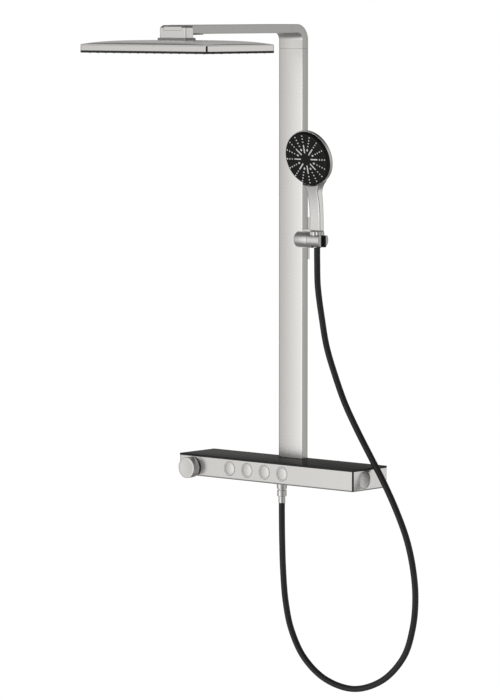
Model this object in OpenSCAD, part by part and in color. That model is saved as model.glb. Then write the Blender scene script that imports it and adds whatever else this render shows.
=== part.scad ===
// Rainfall shower column: thermostatic valve shelf, flat riser column with an overhead
// head on a straight arm, and a hand shower on a slider with its hose.
// +Z is up, +X is the user's right, the wall is the plane y = 0 and the object stands in
// front of it, at negative y. The origin is midway between the two wall inlets.

/* [Valve] */
// Width of the valve shelf
valve_w = 500; // [470:5:530]
// Depth of the valve shelf, front to back
valve_d = 114; // [108:1:124]
// Height of the metal body below the glass
body_h = 43.5; // [42:0.5:48]
// Thickness of the glass shelf
glass_t = 4.5; // [3:0.5:6]
// Gap between the wall and the back of the valve
wall_gap = 45; // [42:1:50]
// Sheet thickness of the valve's metal shell
shell_t = 2.5; // [2:0.5:3]
// Leg of the black seam strip at each vertical corner
seam_leg = 3; // [2:0.5:4]

/* [Controls] */
// Outer radius of the temperature knob
knob_r = 23; // [20:0.5:23]
// How far the temperature knob stands in front of its collar
knob_len = 18.5; // [14:0.5:22]
// Distance between neighbouring flow controls
control_pitch = 50.5; // [46:0.5:52]
// Outer radius of a flow control's turning ring
ring_r = 15.4; // [13:0.2:16]
// Radius of a flow control's push cap
cap_r = 12.4; // [11:0.2:12.6]
// How deep the flow controls' caps are dished
dish_deep = 1.8; // [1:0.1:2.4]
// Radius of the push cap on the right side
side_cap_r = 19; // [17:0.2:19]

/* [Column] */
// Width of the column and the arm
column_w = 68.5; // [66:0.5:72]
// Depth of the column, and thickness of the arm
column_d = 19.5; // [18:0.5:20]
// Wall thickness of the hollow profiles
profile_t = 2.5; // [2:0.5:3]
// Height of the arm's top above the glass
arm_top = 945; // [900:1:1000]
// Outer radius of the bend between the column and the arm
bend_r = 35; // [34:1:40]

/* [Overhead shower] */
// Width of the head
head_w = 360; // [340:5:380]
// Depth of the head, front to back
head_d = 211; // [200:1:220]
// Distance from the wall to the head's centre
head_reach = 439; // [430:1:460]
// Height of the head's metal band
band_h = 13; // [11:0.5:15]
// Height of the dome above the band
dome_h = 9; // [8:0.5:12]
// Thickness of the black nozzle plate
plate_t = 4.5; // [3.5:0.5:6]

/* [Hand shower] */
// Radius of the hand shower's rim
rim_r = 61.2; // [60:0.2:64]
// Forward lean of the hand shower at rest, in degrees
hand_lean = 1; // [0:1:6]
// Downward tilt of the face against its handle, in degrees
face_tilt = 14; // [8:1:16]
// Radius of the holder's barrel
barrel_r = 17.5; // [17:0.5:19]
// Height of the holder above the glass
holder_up = 481; // [460:1:500]
// Outside diameter of the hose
hose_d = 13.6; // [12:0.2:14]

/* [Hidden] */

e = 0.05;                       // overlap used inside a difference
cut = 500;                      // longer than anything that is cut away

glass_top = 26;                 // height of the glass above the inlets' axis
body_top = glass_top - glass_t;
body_lo = body_top - body_h;
valve_back = -wall_gap;
valve_front = valve_back - valve_d;
valve_mid = (valve_back + valve_front) / 2;
inlet_pitch = 150;
manifold_y = -95;

knob_x = -211.5;
knob_z = glass_top - 28.7;
control_x = [for (i = [0:3]) -102.5 + control_pitch * i];
control_z = glass_top - 24;
side_y = valve_mid - 18.5;
cap_deep = 9.4;                 // length of a flow cap, front to back

column_back = -55.3;
column_front = column_back - column_d;
riser_y = column_front + column_d / 2;
arm_hi = glass_top + arm_top;
arm_lo = arm_hi - column_d;
arm_mid = arm_hi - column_d / 2;
bend_y = column_back - bend_r;
bend_z = arm_hi - bend_r;
foot_z = glass_top + 0.8;
seam_z = glass_top + 892;
arm_seam_y = -111.3;
slot_x = 24;                    // centre of each guide slot in the column's back
bracket_z = glass_top + 850;
bracket_pitch = 42;             // between the wall bracket's two screws

hub_w = 75;
hub_d = 25;
hub_y = -head_reach - 0.5;
hub_lo = arm_hi - 27;
hub_hi = arm_hi - 0.5;
plate_lo = arm_hi - 58.5;
band_lo = plate_lo + plate_t;
band_hi = band_lo + band_h;
dome_hi = band_hi + dome_h;

holder_y = -90;
holder_z = glass_top + holder_up;
hand_x = 89.5;
barrel_x0 = 36.5;
barrel_x1 = 72.8;
cup_x0 = 73.2;
cup_x1 = 107.5;
cone_top = 10;                  // along the hand shower's axis, from the holder's axis
cone_low = -16;
cone_top_r = 11.9;
cone_low_r = 9.8;
collar_top = 20;
collar_r = 16;
collar_lobes = 8;
lobe_notch_r = 3.2;             // radius of the notch between two lobes of the collar
spigot_r = 5.45;                // the handle turns on this spigot
face_up = 175.8;                // the face's centre along the hand shower's axis
face_out = 34;                  // and in front of that axis
face_deep = 8.5;                // depth of the black face piece's edge
rim_deep = 8;                   // and of the metal rim behind it

steel = "#c9c7c2";
dark = "#2a2a2a";
brass = "#b99a52";
grey = "#77767a";

// ------------------------------------------------------------------ shared shapes

// A box given by its two opposite corners
module block(a, b) {
    translate(a) cube(b - a);
}

// A plate outline w by d about the origin, with each corner cut by a leg c
module cut_rectangle(w, d, c) {
    x = w / 2;
    y = d / 2;
    polygon([[-x + c, -y], [x - c, -y], [x, -y + c], [x, y - c], [x - c, y], [-x + c, y],
             [-x, y - c], [-x, -y + c]]);
}

// The strip that fills a corner cut by a leg c, with its own narrow front of 1 mm edges
module corner_strip(w, d, c, h) {
    for (sx = [-1, 1], sy = [-1, 1])
        linear_extrude(h)
            polygon([[sx * (w / 2 - c), sy * d / 2], [sx * (w / 2 - c + 1), sy * d / 2],
                     [sx * w / 2, sy * (d / 2 - c + 1)], [sx * w / 2, sy * (d / 2 - c)]]);
}

// A rectangle w by d with round corners of radius r, in exact arcs
module round_rectangle(w, d, r) {
    square([w - 2 * r, d], center = true);
    square([w, d - 2 * r], center = true);
    for (sx = [-1, 1], sy = [-1, 1])
        translate([sx * (w / 2 - r), sy * (d / 2 - r)]) circle(r, $fn = 48);
}

// A cylinder along y, from y0 to y1
module rod_y(x, z, r, y0, y1) {
    translate([x, y1, z]) rotate([90, 0, 0]) cylinder(h = y1 - y0, r = r, $fn = 72);
}

// A cylinder along x, from x0 to x1
module rod_x(y, z, r, x0, x1) {
    translate([x0, y, z]) rotate([0, 90, 0]) cylinder(h = x1 - x0, r = r, $fn = 72);
}

// A tube swept through a list of points, closed by a flat ring at each end. Its rings are
// squared to the path and turned about the y axis or, on a coil, the coil's own axis.
function unit(v) = v / norm(v);
function tangent(p, i) = unit(p[min(i + 1, len(p) - 1)] - p[max(i - 1, 0)]);
function ring_points(p, i, r, n, up) =
    let (t = tangent(p, i), b = unit(cross(t, up)), s = cross(b, t))
    [for (k = [0:n - 1]) p[i] + r * (cos(360 * k / n) * s + sin(360 * k / n) * b)];
module swept_tube(p, r, n, up) {
    rings = len(p);
    points = [for (i = [0:rings - 1]) each ring_points(p, i, r, n, up)];
    sides = [for (i = [0:rings - 2], k = [0:n - 1])
        [i * n + k, i * n + (k + 1) % n, (i + 1) * n + (k + 1) % n, (i + 1) * n + k]];
    start = [for (k = [0:n - 1]) n - 1 - k];
    end = [for (k = [0:n - 1]) (rings - 1) * n + k];
    polyhedron(points, concat(sides, [start, end]), convexity = 6);
}

// A compression spring about the y axis, from y = 0 to y = length
module coil_spring(r, wire_r, turns, length) {
    steps = 14;
    path = [for (i = [0:turns * steps])
        [r * cos(360 * i / steps), wire_r + (length - 2 * wire_r) * i / (turns * steps),
         r * sin(360 * i / steps)]];
    swept_tube(path, wire_r, 6, [0, 1, 0]);
}

// ------------------------------------------------------------------ valve

module valve_shell() {
    color(steel) difference() {
        translate([0, valve_mid, body_lo])
            linear_extrude(body_h) cut_rectangle(valve_w, valve_d, seam_leg);
        block([-valve_w / 2 + shell_t + 3, valve_front + shell_t, body_lo + shell_t],
              [valve_w / 2 - shell_t - 3, valve_back + e, body_top + e]);
        block([-valve_w / 2 + shell_t, valve_front + shell_t + 3, body_lo + shell_t],
              [valve_w / 2 - shell_t, valve_back - 4, body_top + e]);
        rod_y(knob_x, knob_z, 17, valve_front - 1, valve_front + 10);
        for (x = control_x)
            rod_y(x, control_z, ring_r + 0.3, valve_front - 1, valve_front + 10);
        rod_x(side_y, control_z, side_cap_r + 0.3, valve_w / 2 - 10, valve_w / 2 + 1);
        translate([0, valve_mid, body_lo - 1]) cylinder(h = 10, r = 10.2, $fn = 72);
    }
}

module valve_tray() {
    end_gap = 9;                // leaves room for the side cap to be pushed in
    color(dark) difference() {
        block([-valve_w / 2 + end_gap, valve_front + 3.2, body_top - 2],
              [valve_w / 2 - end_gap, valve_back - 0.4, body_top]);
        block([-17.5, riser_y - 7, body_top - 3], [17.5, riser_y + 7, body_top + 1]);
    }
}

module valve_back_plate() {
    color(grey) difference() {
        block([-valve_w / 2 + 5.8, valve_back - 3, body_lo + shell_t + 0.2],
              [valve_w / 2 - 5.8, valve_back - 0.4, body_top - 2.2]);
        for (sx = [-1, 1])
            rod_y(sx * inlet_pitch / 2, 0, 12.2, valve_back - 5, valve_back + 1);
    }
}

module valve_corner_strips() {
    color(dark) translate([0, valve_mid, body_lo])
        corner_strip(valve_w, valve_d, seam_leg, body_h);
}

module glass_shelf() {
    color("#1b1a19") difference() {
        translate([0, valve_mid, body_top])
            linear_extrude(glass_t) round_rectangle(valve_w, valve_d, 1.5);
        block([-17, riser_y - 6.5, body_top - 1], [17, riser_y + 6.5, glass_top + 1]);
    }
}

// Brass body that joins both inlets, the thermostat, the four flow valves and the outlets
module manifold() {
    color(brass) difference() {
        union() {
            rod_x(manifold_y, 0, 14, -180, 150 + e);
            block([150, side_y - 13, -12], [164, manifold_y + 14, 14]);
            for (sx = [-1, 1])
                rod_y(sx * inlet_pitch / 2, 0, 12, manifold_y, valve_back);
            for (x = control_x)
                rod_y(x, control_z, 12, -122, manifold_y);
            rod_y(0, 0, 10, manifold_y, riser_y);
            translate([0, riser_y, 0]) cylinder(h = 15.5, r = 9, $fn = 72);
            translate([0, riser_y, 0]) sphere(10, $fn = 72);
            translate([0, valve_mid, body_lo]) cylinder(h = 20, r = 10, $fn = 72);
        }
        rod_x(manifold_y, 0, 10, -176, 146);
        for (sx = [-1, 1])
            rod_y(sx * inlet_pitch / 2, 0, 8, manifold_y, valve_back + 1);
        rod_y(0, 0, 5, manifold_y, riser_y);
        translate([0, riser_y, 0]) cylinder(h = 20, r = 6, $fn = 72);
        translate([0, valve_mid, body_lo - 1]) cylinder(h = 20, r = 7.5, $fn = 72);
    }
}

module thermostat_cartridge() {
    color(brass) {
        rod_y(knob_x, knob_z, 15, -150, -92);
        rod_y(knob_x, knob_z, 4, valve_front - 14, -150);
        rod_x(manifold_y, 0, 8, knob_x + 5, -180);
    }
}

module flow_cartridges() {
    color(brass) for (x = control_x)
        rod_y(x, control_z, 11, -146, -122);
}

module side_cartridge() {
    color(brass) rod_x(side_y, control_z, 11, 164, 234);
}

module knob_collar() {
    color(dark) difference() {
        rod_y(knob_x, knob_z, 20.5, valve_front - 2.4, valve_front);
        rod_y(knob_x, knob_z, 4.4, valve_front - 5, valve_front + 1);
    }
}

module temperature_knob() {
    front = valve_front - 2.8 - knob_len;
    color(steel) translate([knob_x, 0, knob_z]) rotate([90, 0, 0]) translate([0, 0, -front])
        mirror([0, 0, 1]) difference() {
            rotate_extrude($fn = 96) difference() {
                polygon([[0, 0.8], [10, 0.5], [knob_r - 1.5, 0], [knob_r, 1.2],
                         [knob_r, knob_len], [0, knob_len]]);
                translate([8, 4]) square([knob_r - 11, knob_len]);
            }
            translate([0, 0, 4]) cylinder(h = knob_len, r = 4.06, $fn = 72);
        }
}

// Turning ring of one flow control, flush with the valve's front
module flow_ring(x) {
    color(steel) difference() {
        rod_y(x, control_z, ring_r, valve_front - 0.4, valve_front + 10);
        rod_y(x, control_z, cap_r + 0.2, valve_front - 5, valve_front + 20);
    }
}

// Push cap of one flow control: a disc with a flat-bottomed dish, a hollow skirt and a
// guide stem
module flow_cap(x) {
    floor_r = cap_r - 4;
    color(steel) translate([x, valve_front - 0.2, control_z]) rotate([-90, 0, 0])
        difference() {
            cylinder(h = cap_deep, r = cap_r, $fn = 72);
            translate([0, 0, -e])
                cylinder(h = dish_deep + e, r1 = cap_r - 0.6, r2 = floor_r, $fn = 72);
            translate([0, 0, 4.4]) difference() {
                cylinder(h = cap_deep, r = cap_r - 1.6, $fn = 72);
                cylinder(h = cap_deep, r = 3, $fn = 48);
            }
        }
}

module cap_spring(x) {
    color("silver")
        translate([x, valve_front + 4.4, control_z]) coil_spring(7, 0.6, 4, 8.2);
}

// Large push cap in the valve's right side, dished like the flow caps
module side_cap() {
    side_dish = 2.6;
    floor_r = side_cap_r - 7;
    disc_deep = 5.5;
    skirt_deep = 11;
    skirt_r = side_cap_r - 3;
    color(steel) translate([valve_w / 2, side_y, control_z]) rotate([0, -90, 0])
        difference() {
            union() {
                cylinder(h = disc_deep, r = side_cap_r, $fn = 96);
                cylinder(h = skirt_deep, r = skirt_r, $fn = 96);
            }
            translate([0, 0, -e])
                cylinder(h = side_dish + e, r1 = side_cap_r - 0.8, r2 = floor_r, $fn = 96);
            translate([0, 0, disc_deep]) difference() {
                cylinder(h = skirt_deep, r = skirt_r - 2, $fn = 96);
                cylinder(h = skirt_deep, r = 4, $fn = 48);
            }
        }
}

module side_spring() {
    color("silver") translate([valve_w / 2 - 5.5, side_y, control_z]) rotate([0, 0, 90])
        coil_spring(9, 0.8, 4, 10);
}

// ------------------------------------------------------------------ wall connections

module wall_unions() {
    color(brass) for (sx = [-1, 1]) difference() {
        union() {
            rod_y(sx * inlet_pitch / 2, 0, 10.48, -12, 15);
            rod_y(sx * inlet_pitch / 2, 0, 12.5, -30, -12);
            rod_y(sx * inlet_pitch / 2, 0, 15, -32, -30);
        }
        rod_y(sx * inlet_pitch / 2, 0, 7, -33, 16);
    }
}

module escutcheons() {
    color(steel) for (sx = [-1, 1])
        translate([sx * inlet_pitch / 2, 0, 0]) rotate([90, 0, 0])
            rotate_extrude($fn = 96) difference() {
                polygon([[12.7, 0], [19.5, 0], [19.5, 2], [18, 8], [15.5, 11], [12.7, 11.5]]);
                polygon([[13.8, -1], [18.2, -1], [18.2, 1.5], [16.9, 7], [14.9, 9.6],
                         [13.8, 9.8]]);
            }
}

module inlet_nuts() {
    color(steel) for (sx = [-1, 1])
        translate([sx * inlet_pitch / 2, -32.5, 0]) rotate([90, 0, 0]) difference() {
            cylinder(h = 12, r = 17.3, $fn = 6);
            translate([0, 0, -1]) cylinder(h = 20, r = 12.1, $fn = 72);
        }
}

module inlet_seals() {
    color(dark) for (sx = [-1, 1])
        difference() {
            rod_y(sx * inlet_pitch / 2, 0, 11.8, valve_back + 0.1, -42.6);
            rod_y(sx * inlet_pitch / 2, 0, 7, valve_back - 1, -40);
        }
}

// ------------------------------------------------------------------ column and arm

module foot_gasket() {
    color(dark) translate([0, riser_y, glass_top]) linear_extrude(foot_z - glass_top)
        difference() {
            square([column_w - 1, column_d - 1], center = true);
            square([36, 14], center = true);
        }
}

// Section of the column: a middle duct for the pipe, two side ducts and two guide slots
module column_section() {
    difference() {
        translate([0, riser_y]) round_rectangle(column_w, column_d, 1);
        translate([0, riser_y]) square([18, 13], center = true);
        for (sx = [-1, 1]) {
            translate([sx * 25.5, column_front + 5.7]) square([12, 6.4], center = true);
            translate([sx * slot_x, column_back]) square([5, 5], center = true);
            translate([sx * slot_x, column_back - 4.2]) square([10, 4], center = true);
        }
    }
}

module column() {
    color(steel) translate([0, 0, foot_z]) linear_extrude(seam_z - foot_z) column_section();
}

module riser_pipe() {
    r = 6;
    color("#c7b08a") difference() {
        union() {
            translate([0, riser_y, 4]) cylinder(h = bend_z - 4, r = r, $fn = 72);
            translate([0, bend_y, bend_z]) rotate([90, 0, 90])
                rotate_extrude(angle = 90, $fn = 96) translate([bend_r - column_d / 2, 0])
                    circle(r, $fn = 72);
            rod_y(0, arm_mid, r, hub_y - 2, bend_y);
        }
        translate([0, riser_y, 3]) cylinder(h = bend_z - 3, r = r - 1.5, $fn = 72);
        translate([0, bend_y, bend_z]) rotate([90, 0, 90])
            rotate_extrude(angle = 90, $fn = 96) translate([bend_r - column_d / 2, 0])
                circle(r - 1.5, $fn = 72);
        rod_y(0, arm_mid, r - 1.5, hub_y - 3, bend_y);
    }
}

// The bend's section swept a quarter turn: outer is the full profile, inner its hollow
module bend(w, r0, r1) {
    translate([-w / 2, bend_y, bend_z]) rotate([90, 0, 90])
        rotate_extrude(angle = 90, $fn = 96) translate([r0, 0]) square([r1 - r0, w]);
}

module elbow() {
    t = profile_t;
    color(steel) difference() {
        union() {
            block([-column_w / 2, column_front, seam_z + 0.4],
                  [column_w / 2, column_back, bend_z]);
            bend(column_w, bend_r - column_d, bend_r);
            block([-column_w / 2, arm_seam_y + 0.15, arm_lo], [column_w / 2, bend_y, arm_hi]);
        }
        block([-column_w / 2 + t, column_front + t, seam_z],
              [column_w / 2 - t, column_back - t, bend_z + e]);
        bend(column_w - 2 * t, bend_r - column_d + t, bend_r - t);
        block([-column_w / 2 + t, arm_seam_y - 1, arm_lo + t],
              [column_w / 2 - t, bend_y + e, arm_hi - t]);
    }
}

module arm() {
    t = profile_t;
    hub_back = hub_y + hub_d / 2;
    color(steel) difference() {
        block([-column_w / 2, hub_back, arm_lo], [column_w / 2, arm_seam_y - 0.15, arm_hi]);
        block([-column_w / 2 + t, hub_back - 1, arm_lo + t],
              [column_w / 2 - t, arm_seam_y + 1, arm_hi - t]);
    }
}

module arm_cover_strip() {
    hub_back = hub_y + hub_d / 2;
    color(grey) block([-30, hub_back, arm_lo - 1.4], [30, hub_back + 38, arm_lo]);
}

// Spacer that holds the column's top off the wall, hidden behind it: a narrow plate screwed
// to the wall, a post, and a foot with a key in the column's left slot
module wall_bracket() {
    x = -slot_x;
    z = bracket_z;
    plate_half = 8.5;
    foot_y = column_back + 6.2;
    color(grey) difference() {
        union() {
            block([x - plate_half, -5, z - 30], [x + plate_half, 0, z + 30]);
            block([x - 6, foot_y, z - 10], [x + 6, -5 + e, z + 10]);
            block([x - 9.5, column_back + 0.2, z - 14], [x + plate_half, foot_y + e, z + 14]);
            block([x - 2.2, column_back - 4, z - 12], [x + 2.2, column_back + 0.2 + e, z + 12]);
            block([x - 4.8, column_back - 6, z - 12], [x + 4.8, column_back - 2.7, z + 12]);
        }
        for (s = [-1, 1]) rod_y(x, z + bracket_pitch / 2 * s, 2.6, -10, 1);
    }
}

// ------------------------------------------------------------------ overhead shower

module hub() {
    color(steel) difference() {
        translate([0, hub_y, hub_lo]) linear_extrude(hub_hi - hub_lo)
            round_rectangle(hub_w, hub_d, 2);
        block([-25.3, hub_y - 20, hub_hi - 11.3], [25.3, hub_y - 9.3, hub_hi - 3]);
        block([-30, hub_y - 4, hub_lo + 4], [30, hub_y + 20, hub_hi - 1.7]);
        translate([0, hub_y, hub_lo - 1]) cylinder(h = 20, r = 8.1, $fn = 72);
    }
}

module release_tab() {
    color(steel)
        block([-25, hub_y - 12.4, hub_hi - 11], [25, hub_y - 11.2, hub_hi - 3.3]);
}

module hub_flange() {
    color(grey) difference() {
        translate([0, hub_y, dome_hi + 0.2])
            linear_extrude(hub_lo - dome_hi - 0.2) round_rectangle(82, 32, 3);
        translate([0, hub_y, dome_hi - 1]) cylinder(h = 20, r = 8.1, $fn = 72);
    }
}

module head_nipple() {
    color(brass) translate([0, hub_y, band_lo + 6]) difference() {
        cylinder(h = hub_lo + 8 - band_lo - 6, r = 8, $fn = 72);
        translate([0, 0, -1]) cylinder(h = 60, r = 5, $fn = 72);
    }
}

// Height of the pillow dome above the band, with elliptical shoulders at its edges
function dome(x, y) =
    let (a = head_w / 2, b = head_d / 2)
    dome_h * sqrt(max(0, 1 - pow(abs(x) / a, 4)) * max(0, 1 - pow(abs(y) / b, 4)));

// Thin domed sheet that covers the band: two grids of points joined round their edge
module head_cover() {
    nx = 28;
    ny = 18;
    t = 1.6;
    xs = [for (i = [0:nx]) -head_w / 2 * cos(180 * i / nx)];
    ys = [for (j = [0:ny]) -head_d / 2 * cos(180 * j / ny)];
    top = [for (j = [0:ny], i = [0:nx]) [xs[i], ys[j], t + dome(xs[i], ys[j])]];
    low = [for (p = top) [p.x, p.y, p.z - t]];
    n = len(top);
    row = nx + 1;
    cells = [for (j = [0:ny - 1], i = [0:nx - 1]) j * row + i];
    upper = [for (c = cells) each [[c, c + row, c + row + 1], [c, c + row + 1, c + 1]]];
    lower = [for (c = cells)
        each [[n + c, n + c + row + 1, n + c + row], [n + c, n + c + 1, n + c + row + 1]]];
    rim = concat([for (i = [0:nx - 1]) i], [for (j = [0:ny - 1]) nx + j * row],
                 [for (i = [0:nx - 1]) n - 1 - i], [for (j = [0:ny - 1]) (ny - j) * row]);
    edge = [for (k = [0:len(rim) - 1])
        let (p = rim[k], q = rim[(k + 1) % len(rim)])
        each [[p, q, n + q], [p, n + q, n + p]]];
    color(steel) difference() {
        translate([0, -head_reach, band_hi - t])
            polyhedron(concat(top, low), concat(upper, lower, edge), convexity = 6);
        translate([0, hub_y, band_lo]) cylinder(h = 60, r = 8.4, $fn = 72);
    }
}

module head_band() {
    t = 1.8;
    color(steel) difference() {
        translate([0, -head_reach, band_lo])
            linear_extrude(band_h - 1.6) cut_rectangle(head_w, head_d, seam_leg);
        translate([0, -head_reach, band_lo - 1]) linear_extrude(band_h + 2)
            cut_rectangle(head_w - 2 * t, head_d - 2 * t, seam_leg);
    }
}

module head_corner_strips() {
    color(dark) translate([0, -head_reach, band_lo])
        corner_strip(head_w, head_d, seam_leg, band_h - 1.7);
}

module head_chamber() {
    color(dark) translate([0, -head_reach, band_lo]) difference() {
        linear_extrude(8) square([310, 166], center = true);
        translate([0, 0, -1]) linear_extrude(7) square([304, 160], center = true);
        translate([0, hub_y + head_reach, -1]) cylinder(h = 20, r = 8.1, $fn = 72);
    }
}

module head_plate() {
    color(dark) translate([0, -head_reach, plate_lo])
        linear_extrude(plate_t) cut_rectangle(head_w, head_d, 1.5);
}

module head_nozzles() {
    columns = 15;
    rows = 8;
    column_pitch = 23.2;
    row_pitch = 26.8;
    nozzle_h = 0.9;
    color("#4a4a4a") for (i = [0:columns - 1], j = [0:rows - 1])
        translate([(i - (columns - 1) / 2) * column_pitch,
                   (j - (rows - 1) / 2) * row_pitch - head_reach, plate_lo - nozzle_h])
            cylinder(h = nozzle_h, r = 2, $fn = 24);
}

// ------------------------------------------------------------------ slider and holder

module slider_carriage() {
    color(steel) difference() {
        union() {
            block([-30, column_back + 0.4, holder_z - 45.5],
                  [34.2, column_back + 6.5, holder_z + 45.5]);
            block([34.2 - e, column_back + 0.4, holder_z - 20.5],
                  [39.8, column_back + 6.5, holder_z + 20.5]);
            block([34.8, column_front - 2.7, holder_z - 20.5],
                  [39.8, column_back + 0.4 + e, holder_z + 20.5]);
            block([39.8 - e, column_front - 2.7, holder_z - 14],
                  [56, column_front + 12, holder_z + 14]);
        }
        rod_x(holder_y, holder_z, barrel_r + 0.05, 30, 80);
    }
}

module slider_keys() {
    color(dark) for (sx = [-1, 1]) {
        x = sx * slot_x;
        block([x - 2.1, column_back - 3, holder_z - 45],
              [x + 2.1, column_back + 0.4, holder_z + 45]);
        block([x - 4.6, column_back - 5.8, holder_z - 45],
              [x + 4.6, column_back - 2.8, holder_z + 45]);
    }
}

module holder_barrel() {
    color(steel) difference() {
        rod_x(holder_y, holder_z, barrel_r, barrel_x0, barrel_x1);
        rod_x(holder_y, holder_z, 8.06, 46, barrel_x1 + 1);
    }
}

module holder_washer() {
    color(dark) difference() {
        rod_x(holder_y, holder_z, barrel_r - 0.6, barrel_x1, barrel_x1 + 0.3);
        rod_x(holder_y, holder_z, 8.5, barrel_x1 - 1, barrel_x1 + 2);
    }
}

// The hand shower's own frame: its origin is on the holder's axis, and z is along its handle
module in_hand() {
    translate([hand_x, holder_y, holder_z]) rotate([hand_lean, 0, 0]) children();
}

// Turning holder: a short drum with a seat for the hose's cone, a round recess for the
// collar above it and a wide slot in its end
module holder_cup() {
    slot_half = 8.5;
    color(steel) difference() {
        union() {
            rod_x(holder_y, holder_z, barrel_r, cup_x0, cup_x1);
            rod_x(holder_y, holder_z, 8, 46.5, cup_x0 + e);
        }
        in_hand() {
            translate([0, 0, -cut / 2]) cylinder(h = cut, r = 13.3, $fn = 72);
            translate([0, 0, cone_top]) cylinder(h = cut, r = collar_r + 0.4, $fn = 96);
            translate([0, -20, cone_top]) cube([cut, 40, cut]);
            translate([0, -slot_half, -cut / 2]) cube([cut, 2 * slot_half, cut]);
        }
    }
}

// Black insert: a tapered seat for the hose's cone, open at one side to let the hose in
module holder_liner() {
    liner_half = 8.4;
    throat_half = 7.2;
    color(dark) intersection() {
        rod_x(holder_y, holder_z, barrel_r - 0.2, cup_x0, cup_x1 - 0.5);
        in_hand() difference() {
            union() {
                translate([0, 0, -25]) cylinder(h = 25 + cone_top, r = 13.2, $fn = 72);
                translate([0, -liner_half, -25]) cube([20, 2 * liner_half, 25 + cone_top]);
            }
            translate([0, 0, cone_low - 10]) cylinder(
                h = cone_top - cone_low + 20,
                r1 = cone_low_r + 0.3 - 10 * (cone_top_r - cone_low_r) / (cone_top - cone_low),
                r2 = cone_top_r + 0.3 + 10 * (cone_top_r - cone_low_r) / (cone_top - cone_low),
                $fn = 72);
            translate([0, -throat_half, -30]) cube([30, 2 * throat_half, 60]);
        }
    }
}

// ------------------------------------------------------------------ hand shower

module hose_cone() {
    color(steel) in_hand() difference() {
        union() {
            translate([0, 0, cone_low])
                cylinder(h = cone_top + 0.4 - cone_low, r1 = cone_low_r, r2 = cone_top_r,
                         $fn = 72);
            translate([0, 0, cone_top + 0.3])
                cylinder(h = collar_top - cone_top - 0.3, r = collar_r, $fn = 72);
            translate([0, 0, collar_top - e]) cylinder(h = 14, r = spigot_r, $fn = 72);
        }
        for (k = [0:collar_lobes - 1])
            rotate(360 / collar_lobes * k) translate([collar_r + lobe_notch_r - 1.5, 0, cone_top])
                cylinder(h = 20, r = lobe_notch_r, $fn = 48);
        translate([0, 0, cone_low - 1]) cylinder(h = 15, r = hose_d / 2 + 0.2, $fn = 72);
    }
}

// Places its children at the face's centre, with z along the face's outward normal
module at_face() {
    in_hand() translate([0, -face_out, face_up]) rotate([90 + face_tilt, 0, 0]) children();
}

// Handle and bowl in one piece. The neck slopes forward under the face, and a water way
// runs up the handle and slants into the space behind the face.
module hand_shell() {
    neck_w = 29.5;
    neck_d = 19;
    corner = 3;
    back = -face_deep - rim_deep;
    bend_up = 96;               // where the water way starts to slant
    bend_lean = 11;
    color(steel) difference() {
        union() {
            in_hand() translate([0, 0, collar_top + 0.3])
                linear_extrude(95) round_rectangle(neck_w, neck_d, corner);
            at_face() rotate_extrude($fn = 96)
                polygon([[0, back - 12.5], [16, back - 12], [32, back - 9.8],
                         [46, back - 6], [55, back - 2.6], [rim_r - 1.5, back],
                         [rim_r - 1.5, back + 0.6], [0, back + 0.6]]);
            hull() {
                in_hand() translate([0, 0, 92])
                    linear_extrude(1) round_rectangle(neck_w, neck_d, corner);
                in_hand() translate([0, -5, 117])
                    linear_extrude(1) round_rectangle(neck_w + 9, 27.4, corner + 1);
                at_face() translate([0, -24, back - 10.5])
                    linear_extrude(10) round_rectangle(40, 40, 12);
            }
        }
        in_hand() cylinder(h = bend_up + 1, r = spigot_r + 0.05, $fn = 72);
        in_hand() translate([0, 0, bend_up]) rotate([bend_lean, 0, 0])
            cylinder(h = 60, r = 5, $fn = 72);
        at_face() translate([0, 0, back]) cylinder(h = 60, r = rim_r + 0.3, $fn = 128);
    }
}

module hand_rim() {
    z = -face_deep;
    color(steel) at_face() rotate_extrude($fn = 128)
        polygon([[54, z - rim_deep], [rim_r - 1.2, z - rim_deep], [rim_r - 0.2, z - 6.5],
                 [rim_r, z - 4], [rim_r - 0.3, z - 1], [rim_r - 1.2, z], [54, z]]);
}

module hand_face() {
    edge = rim_r - 1.5;
    color(dark) at_face() rotate_extrude($fn = 128)
        polygon([[0, -face_deep], [edge, -face_deep], [edge, -6.5], [edge - 0.6, -4],
                 [edge - 2, -2], [edge - 3.8, -0.7], [edge - 6, 0], [0, 0]]);
}

// White sprays: eight radial bars with three dots beyond each, and between them one
// larger dot with four smaller ones
module hand_sprays() {
    h = 0.8;
    dot_r = 1.6;
    color("white") at_face() for (k = [0:7]) {
        rotate(45 * k) {
            translate([13.5, -1.5, 0]) cube([19, 3, h]);
            for (r = [39, 46, 54]) translate([r, 0, 0]) cylinder(h = h, r = dot_r, $fn = 24);
        }
        rotate(45 * k + 22.5) {
            translate([22.5, 0, 0]) cylinder(h = h, r = 2.3, $fn = 24);
            for (r = [32, 39, 46.5, 54])
                translate([r, 0, 0]) cylinder(h = h, r = dot_r, $fn = 24);
        }
    }
}

// ------------------------------------------------------------------ hose

outlet_collar_lo = body_lo - 17;
nut_hi = body_lo - 19.5;
nut_lo = nut_hi - 13.5;
sleeve_lo = nut_lo - 15;

module hose_outlet() {
    color(steel) translate([0, valve_mid, 0]) difference() {
        union() {
            translate([0, 0, outlet_collar_lo])
                cylinder(h = body_lo - outlet_collar_lo - 0.1, r1 = 10.8, r2 = 12.3, $fn = 72);
            translate([0, 0, nut_hi])
                cylinder(h = outlet_collar_lo - nut_hi + e, r = 7.8, $fn = 72);
        }
        translate([0, 0, nut_hi - 1]) cylinder(h = 30, r = 5, $fn = 48);
    }
}

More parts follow.
